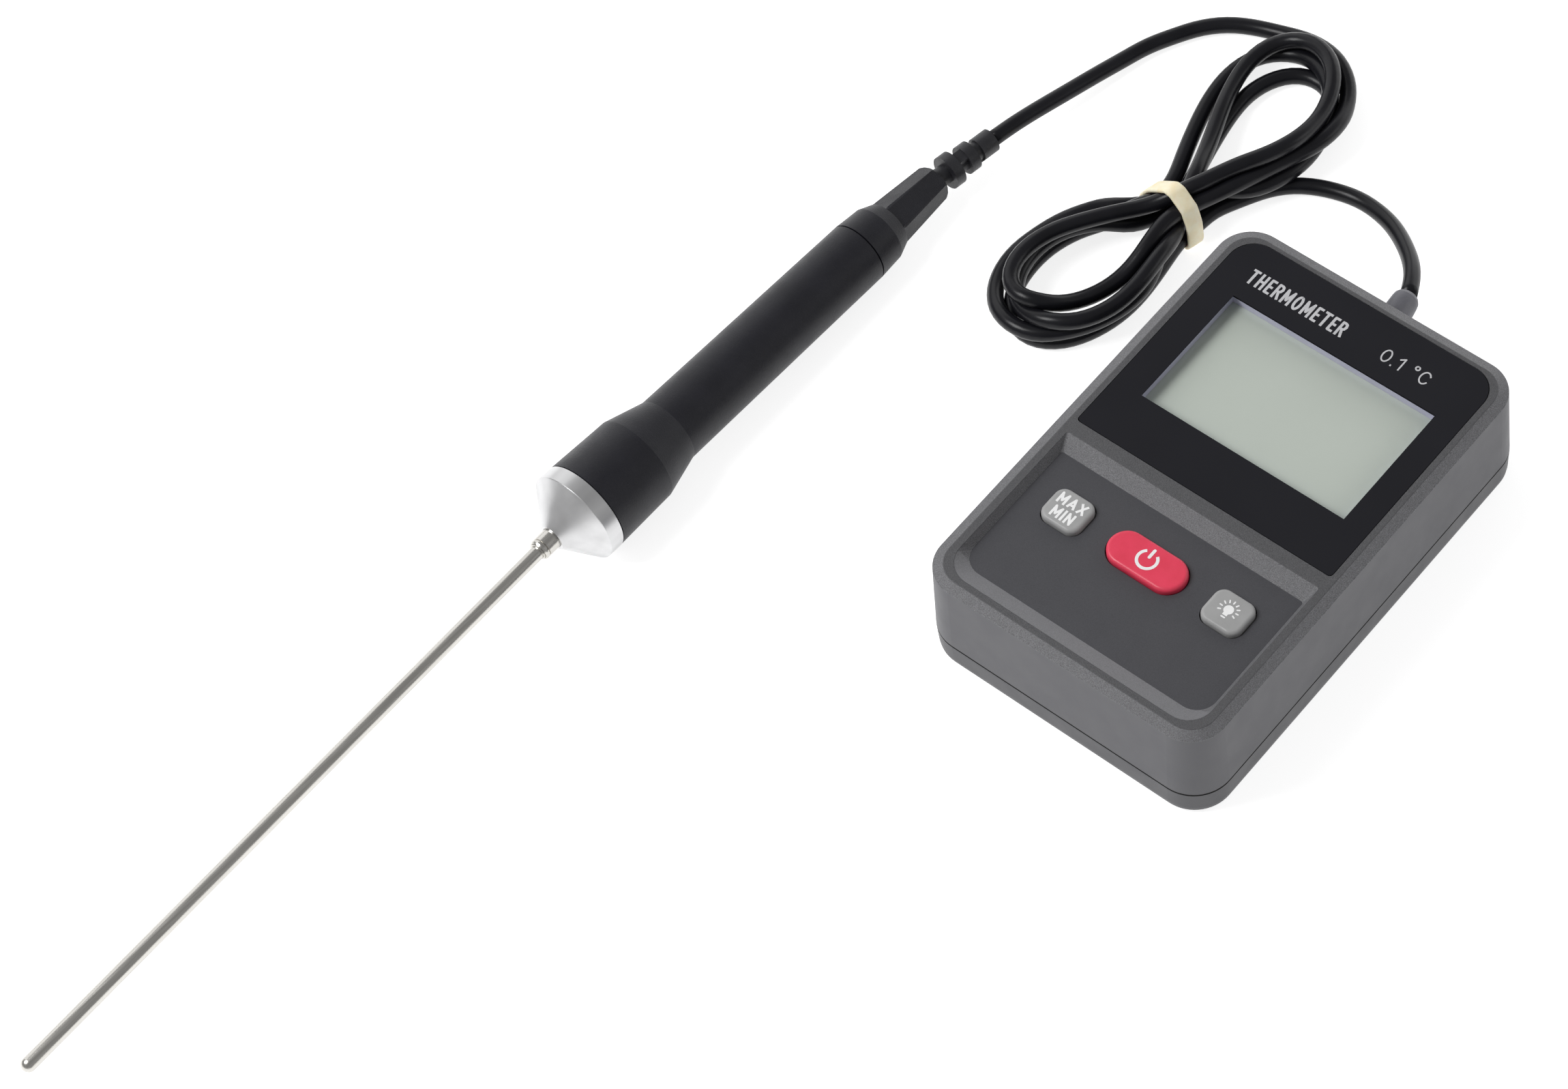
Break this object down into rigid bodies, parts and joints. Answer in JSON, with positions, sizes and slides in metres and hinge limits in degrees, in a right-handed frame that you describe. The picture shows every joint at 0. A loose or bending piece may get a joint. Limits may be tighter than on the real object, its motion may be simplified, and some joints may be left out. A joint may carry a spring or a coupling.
{
  "type": "immersion thermometer",
  "caption": "Handheld digital meter with sunken keys and a wide display, wired to a slim steel immersion probe by a cord tied in a figure-eight hank.",
  "frame": {"origin": "centre of the meter's flat back, which rests on the table", "axes": "+X to the right of the upright display, +Y from the keys towards the display and the cord's outlet, +Z out of the meter's front"},
  "size_m": [0.1678, 0.3864, 0.0302],
  "materials": {
    "case": "fine spark texture on the front, smooth satin sides",
    "lens": "clear, tinted, satin gloss",
    "print": "printed black",
    "display": "liquid crystal, unpowered",
    "light_guide": "clear, diffusing",
    "contact_rubber": "striped silicone",
    "board": "solder resist",
    "chips": "moulded",
    "switches": "tin plated with a moulded plunger",
    "grey_key": "satin moulded",
    "red_key": "satin moulded",
    "battery": "plain printed sleeve",
    "studs": "plated",
    "snap": "moulded",
    "red_insulation": "insulated wire",
    "black_insulation": "insulated wire",
    "screws": "zinc plated",
    "gland": "satin moulded",
    "cord": "satin, smooth",
    "core_insulation": "insulated wire",
    "header": "moulded",
    "band": "matt natural rubber",
    "relief": "satin moulded",
    "tie": "moulded",
    "sleeves": "shrunk sleeve",
    "lead_insulation": "glossy fluoropolymer",
    "potting": "cast resin",
    "handle": "fine grained",
    "cone": "turned, satin",
    "steel": "drawn, bright",
    "sensor_wire": "bare wire",
    "sensor": "glazed ceramic"
  },
  "bodies": {
    "instrument": {"front_case": "case", "rear_case": "case", "display_lens": "lens", "window_print": "print", "display_glass": "display", "backlight_guide": "light_guide", "contact_strips": "contact_rubber", "circuit_board": "board", "board_chips": "chips", "key_switches": "switches", "battery_body": "battery", "battery_studs": "studs", "battery_snap": "snap", "snap_lead_red": "red_insulation", "snap_lead_black": "black_insulation", "case_screws": "screws", "board_screws": "screws", "cable_gland": "gland", "cord_tail_meter": "cord", "meter_wires": "core_insulation", "wire_header": "header", "cord_to_meter": "cord", "cord_hank": "cord", "cord_to_probe": "cord", "hank_band": "band", "strain_relief": "relief", "cord_tail_probe": "cord", "cord_tie": "tie", "tail_wires": "core_insulation", "splice_sleeves": "sleeves", "lead_wires": "lead_insulation", "lead_potting": "potting", "handle_end_cap": "handle", "handle_grip": "handle", "nose_cone": "cone", "tube_ferrule": "steel", "probe_tube": "steel", "lead_sleeve": "lead_insulation", "sensor_leads": "sensor_wire", "sensor_element": "sensor"},
    "battery_door": {"battery_door": "case"},
    "key_max_min": {"key_max_min": "grey_key"},
    "key_power": {"key_power": "red_key"},
    "key_light": {"key_light": "grey_key"}
  },
  "joints": [
    {"name": "key_max_min_press", "type": "slide", "parent": "instrument", "child": "key_max_min", "axis": [0, 0, -1], "range_m": [0, 0.0008], "stiffness_N_per_m": 700, "springref_m": -0.0005},
    {"name": "key_power_press", "type": "slide", "parent": "instrument", "child": "key_power", "axis": [0, 0, -1], "range_m": [0, 0.0008], "stiffness_N_per_m": 700, "springref_m": -0.0005},
    {"name": "key_light_press", "type": "slide", "parent": "instrument", "child": "key_light", "axis": [0, 0, -1], "range_m": [0, 0.0008], "stiffness_N_per_m": 700, "springref_m": -0.0005},
    {"name": "battery_door_hinge", "type": "hinge", "parent": "instrument", "child": "battery_door", "pos_m": [0, -0.0276, 0.0012], "axis": [1, 0, 0], "range_deg": [0, 95]}
  ]
}
